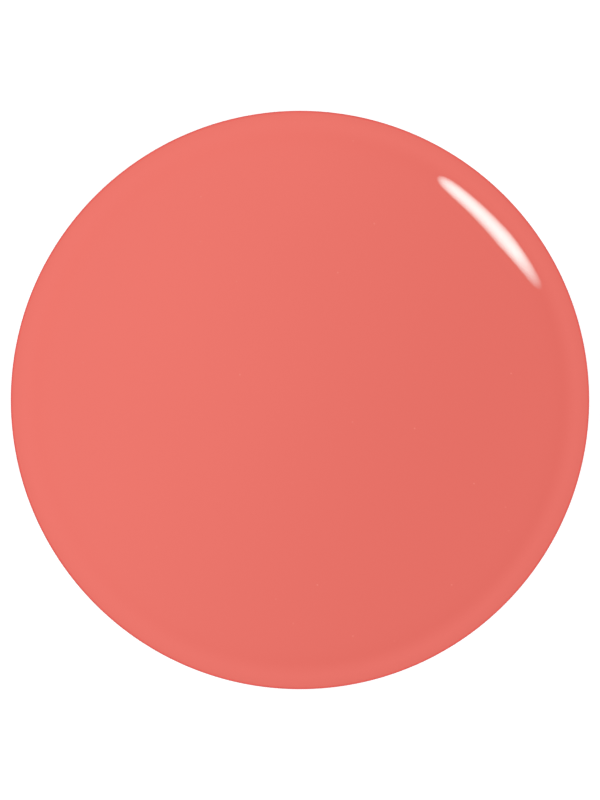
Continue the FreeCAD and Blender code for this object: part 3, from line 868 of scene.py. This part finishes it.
def make_inner_cap():
    """The threaded cap with grip ribs outside, a well on top and a boss that holds the stem."""
    low, high = box_mm("inner_cap")
    edge = INNER_CAP["round"]
    outline = rounded(
        [
            (BOSS["socket"], INNER_CAP["web"]),
            (INNER_CAP["bore"], INNER_CAP["web"]),
            (INNER_CAP["bore"], low.z, edge),
            (INNER_CAP["radius"], low.z, edge),
            (INNER_CAP["radius"], high.z, edge),
            (INNER_CAP["well"], high.z, edge),
            (INNER_CAP["well"], INNER_CAP["web_top"], edge),
            (BOSS["radius"], INNER_CAP["web_top"], edge),
            (BOSS["radius"], BOSS["top"], edge),
            (0, BOSS["top"]),
            (0, BOSS["socket_top"]),
            (BOSS["socket"], BOSS["socket_top"]),
        ]
    )
    outline = with_rows(outline, INNER_CAP["bore"], thread_heights(CAP_THREAD))
    bottom, top = thread_span(CAP_THREAD)
    first, last = low.z + GRIP_RIBS["margin"], high.z - GRIP_RIBS["margin"]
    outline = with_rows(outline, INNER_CAP["radius"], rib_heights(first, last))

    def moulded(angle, radius, height):
        if on_wall(radius, INNER_CAP["bore"]) and bottom < height < top:
            return radius - CAP_THREAD["height"] * thread_rise(CAP_THREAD, angle, height)
        if on_wall(radius, INNER_CAP["radius"]):
            return radius + GRIP_RIBS["height"] * rib_rise(angle, height, first, last)
        return radius

    mesh = turned_mesh("ribbed_cap", outline, RIB_COLUMNS, moulded)
    material = satin_plastic("satin_black_plastic", SATIN_BLACK, roughness=0.34, grain=0.006 * MM)
    piece = finish_mesh("ribbed_cap", mesh, "screw_cap", material)
    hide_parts("inner_cap")


def make_shell():
    """The over-cap's shell, open below, with a hole in its ceiling for the button's peg."""
    low, high = box_mm("overcap_shell")
    inner = high.x - SHELL["wall"]
    ceiling = high.z - SHELL["ceiling"]
    outline = rounded(
        [
            (SHELL["hole"], ceiling),
            (inner, ceiling, SHELL_ROUNDS["inside"]),
            (inner, low.z, SHELL_ROUNDS["mouth"]),
            (high.x, low.z, SHELL_ROUNDS["outside"]),
            (high.x, high.z, SHELL_ROUNDS["outside"]),
            (SHELL["hole"], high.z),
        ]
    )
    mesh = turned_mesh("gloss_overcap", outline)
    piece = finish_mesh("gloss_overcap", mesh, "overcap", gloss_plastic())
    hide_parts("overcap_shell")


def dome_outline(rim, wall_top, inset):
    """The button's outside from the rim to the crown, moved inwards by inset."""
    tilt, crown_tilt = math.radians(DOME["edge_tilt"]), math.radians(DOME["crown_tilt"])
    edge_x, reach = rim - DOME["edge"], DOME["edge"] - DOME["bend"]
    bend = (edge_x + reach * math.sin(tilt), wall_top + reach * math.cos(tilt))
    crown = bend[0] / math.sin(crown_tilt) + DOME["bend"]
    crown_z = bend[1] - (crown - DOME["bend"]) * math.cos(crown_tilt)
    edge_end, bend_end = 90 - DOME["edge_tilt"], 90 - DOME["crown_tilt"]
    outline = arc((edge_x, wall_top), DOME["edge"] - inset, 0, edge_end)
    outline += arc(bend, DOME["bend"] - inset, edge_end, bend_end)[1:]
    radius = crown - inset
    for step in range(1, CROWN_STEPS + 1):
        angle = crown_tilt * (1 - step / CROWN_STEPS)
        outline.append((radius * math.sin(angle), crown_z + radius * math.cos(angle)))
    return outline


def make_shade_coat():
    """The even coat of lacquer over the button, with a rounded lower edge."""
    low, high = box_mm("shade_lacquer")
    wall_top = low.z + DOME["wall"]
    outside = dome_outline(high.x, wall_top, 0.0)
    inside = dome_outline(high.x, wall_top, DOME["coat"])
    half = DOME["coat"] / 2
    foot = arc((high.x - half, low.z + half), half, -180, 0)
    mesh = turned_mesh("shade_coat", foot + outside + inside[::-1])
    piece = finish_mesh("shade_coat", mesh, "overcap", dried_lacquer())
    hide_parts("shade_lacquer")


# ---------------------------------------------------------------- CAD nodes that stay


def dress_cad_nodes():
    """Materials for the CAD nodes that are shown as they are."""
    steel = turned_steel()
    natural = satin_plastic("natural_plastic", NATURAL, roughness=0.42, grain=0.006 * MM)
    button = satin_plastic("button_plastic", BUTTON_BLACK, roughness=0.3, grain=0.003 * MM)
    looks = {
        "mixing_ball_1": steel,
        "mixing_ball_2": steel,
        "brush_staple": steel,
        "weight_ring": steel,
        "base_label": label_film(),
        "lip_seal": seal_foam(),
        "overcap_sleeve": natural,
        "shade_button": button,
    }
    for node, material in looks.items():
        mesh = frame["nodes"][node].data
        mesh.materials.clear()
        mesh.materials.append(material)
        mesh.shade_smooth()
        mesh.set_sharp_from_angle(angle=SHARP_EDGE)


# ---------------------------------------------------------------- studio


def make_floor():
    """A white floor with an even glow and a painted contact shadow, where its glow fades out round
    the bottle's foot. Reflections look past it, as they would past a table of clear glass."""
    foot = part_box("glass_bottle")[1].x
    mesh = bmesh.new()
    bmesh.ops.create_grid(mesh, x_segments=1, y_segments=1, size=FLOOR["reach"])
    floor = bpy.data.objects.new("studio_floor", mesh_data("studio_floor", mesh))
    bpy.context.scene.collection.objects.link(floor)
    material, shader = new_material("studio_floor")
    # Painted contact shadow: the glow fades to nothing towards the bottle's foot.
    fade = (foot, foot + FLOOR["painted_shadow_width"])
    feed(
        shader,
        {
            "Base Color": opaque(TABLE),
            "Roughness": 0.9,
            "Specular IOR Level": 0.0,
            "Emission Color": opaque(WHITE),
            "Emission Strength": ramp(
                shader, radius_of(shader), fade, (0.0, FLOOR["glow"]), smooth_ends=True
            ),
        },
    )
    floor.data.materials.append(material)
    floor.visible_glossy = False


def make_world():
    """White behind the object, even soft light on it, and a dimmer studio in its reflections."""
    world = bpy.data.worlds.new("studio")
    bpy.context.scene.world = world
    world.use_nodes = True
    tree = world.node_tree
    direction = add(tree, "ShaderNodeTexCoord").outputs["Generated"]
    up = add(tree, "ShaderNodeSeparateXYZ", {0: direction}).outputs["Z"]
    path = add(tree, "ShaderNodeLightPath")
    behind_glass = path.outputs["Is Transmission Ray"]
    mirrored = maths(tree, "LESS_THAN", behind_glass, path.outputs["Is Glossy Ray"])
    seen = maths(tree, "MAXIMUM", path.outputs["Is Camera Ray"], behind_glass)
    level = ramp(tree, up, SKY["heights"], SKY["levels"])
    studio = ramp(tree, up, MIRRORED_STUDIO["heights"], MIRRORED_STUDIO["levels"])
    for share, other in ((mirrored, studio), (seen, BACKDROP)):
        inputs = {"Factor": share, "A": level, "B": other}
        level = add(tree, "ShaderNodeMix", inputs, data_type="FLOAT").outputs[0]
    feed(tree.nodes["Background"], {"Strength": level, "Color": opaque(WHITE)})


def make_light(name, target, look):
    """Area light aimed at a target from its look's azimuth, elevation and distance."""
    width, length = look["size"]
    lamp = bpy.data.lights.new(name, "AREA")
    lamp.shape = "RECTANGLE"
    lamp.size, lamp.size_y = width, length
    lamp.energy = look["radiance"] * math.pi * width * length
    light = bpy.data.objects.new(name, lamp)
    bpy.context.scene.collection.objects.link(light)
    around, up = math.radians(look["azimuth"]), math.radians(look["elevation"])
    flat = math.cos(up)
    away = Vector((math.cos(around) * flat, math.sin(around) * flat, math.sin(up)))
    light.location = target + away * look["distance"]
    light.rotation_euler = away.to_track_quat("Z", "Y").to_euler()
    light.visible_camera = False
    return light


def link_light(light, reaches_face):
    """Lets a light reach only the coated face, or everything but it."""
    lit = bpy.data.collections.new(light.name + "_lit")
    for piece in bpy.data.objects:
        if piece.type == "MESH" and (piece.name == "shade_coat") == reaches_face:
            lit.objects.link(piece)
    light.light_linking.receiver_collection = lit


def fade_edges(light, side, end):
    """Dims a strip light towards its edges; each value is a share of its width or length."""
    light.data.use_nodes = True
    tree = light.data.node_tree
    spot = add(tree, "ShaderNodeNewGeometry").outputs["Parametric"]
    axes = add(tree, "ShaderNodeSeparateXYZ", {0: spot})
    level = 1.0
    for share, fade in ((axes.outputs["X"], side), (axes.outputs["Y"], end)):
        rise = ramp(tree, share, (0.0, fade), smooth_ends=True)
        fall = ramp(tree, share, (1.0 - fade, 1.0), (1.0, 0.0), smooth_ends=True)
        level = maths(tree, "MULTIPLY", maths(tree, "MULTIPLY", rise, fall), level)
    feed(tree.nodes["Emission"], {"Strength": level})


def shape_crescent(light, face):
    """Lights only a lens of the soft box, as the face sees it: brightest along its middle line,
    which sinks towards both ends. It thins towards both too, and dims towards one."""
    light.data.use_nodes = True
    tree = light.data.node_tree
    point = add(tree, "ShaderNodeNewGeometry").outputs["Position"]
    away = vector_maths(tree, "SUBTRACT", point, face).outputs[0]
    x, y, z = add(tree, "ShaderNodeSeparateXYZ", {0: away}).outputs
    reach = maths(tree, "SQRT", maths(tree, "MULTIPLY_ADD", x, x, maths(tree, "MULTIPLY", y, y)))
    azimuth = maths(tree, "DEGREES", maths(tree, "ARCTAN2", y, x))
    elevation = maths(tree, "DEGREES", maths(tree, "ARCTAN2", z, reach))
    aside = maths(tree, "SUBTRACT", azimuth, CRESCENT["bow_azimuth"])
    sunk = maths(tree, "MULTIPLY", maths(tree, "MULTIPLY", aside, aside), CRESCENT["bow"])
    above = maths(tree, "SUBTRACT", maths(tree, "ADD", elevation, sunk), CRESCENT["elevation"])
    (start, start_half), (widest, widest_half), (end, end_half) = CRESCENT["half_heights"]
    widening = ramp(tree, azimuth, (start, widest), (start_half, widest_half))
    thinning = ramp(tree, azimuth, (widest, end), (widest_half, end_half))
    across = maths(tree, "DIVIDE", above, maths(tree, "MINIMUM", widening, thinning))
    along = maths(tree, "SUBTRACT", azimuth, CRESCENT["azimuth"])
    along = maths(tree, "ABSOLUTE", maths(tree, "DIVIDE", along, CRESCENT["half_width"]))
    ends = maths(tree, "POWER", along, CRESCENT["end_power"])
    lens = maths(tree, "SUBTRACT", 1.0, maths(tree, "MULTIPLY_ADD", across, across, ends))
    dimming = ramp(tree, azimuth, CRESCENT["dimming"])
    level = maths(tree, "MULTIPLY", maths(tree, "MAXIMUM", lens, 0.0), dimming)
    feed(tree.nodes["Emission"], {"Strength": level})


def make_lights(face):
    """Soft key from the upper left, one soft box for the crescent, and strips for the sides."""
    key = make_light("key", Vector((0, 0, face.z / 2)), KEY)
    key.visible_glossy = False
    crescent = make_light("crescent", face, CRESCENT)
    crescent.data.color = CRESCENT["tint"]
    crescent.visible_diffuse = False
    shape_crescent(crescent, face)
    link_light(crescent, reaches_face=True)
    for name, look in STRIPS.items():
        strip = make_light(name, STRIP_TARGET, look | STRIP_PLACE)
        strip.visible_diffuse = False
        fade_edges(strip, **STRIP_FADES)
        link_light(strip, reaches_face=False)


def make_camera(face, rim):
    """Straight above the shade button, which fills most of the picture's width. The sensor spans
    the picture's longer side, its height."""
    data = bpy.data.cameras.new("camera")
    data.lens = CAMERA["lens"]
    data.sensor_width = CAMERA["sensor"]
    data.clip_start = CAMERA["near"]
    camera = bpy.data.objects.new("camera", data)
    bpy.context.scene.collection.objects.link(camera)
    half_width = CAMERA["sensor"] / 2 * PICTURE_RATIO / CAMERA["lens"]
    distance = rim / (half_width * CAMERA["face_share"])
    camera.location = face + Vector((0, 0, distance))
    bpy.context.scene.camera = camera


def main():
    """Makes the pieces from the bottle up, then the studio round them."""
    make_glass_bottle()
    make_liquid()
    make_stem()
    make_filaments()
    make_brush_coat()
    make_inner_cap()
    make_shell()
    make_shade_coat()
    dress_cad_nodes()
    low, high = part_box("shade_lacquer")
    face = Vector((0, 0, low.z + DOME["wall"] * MM))
    make_floor()
    make_world()
    make_lights(face)
    make_camera(face, high.x)
    bpy.context.scene.view_settings.view_transform = "Standard"


main()
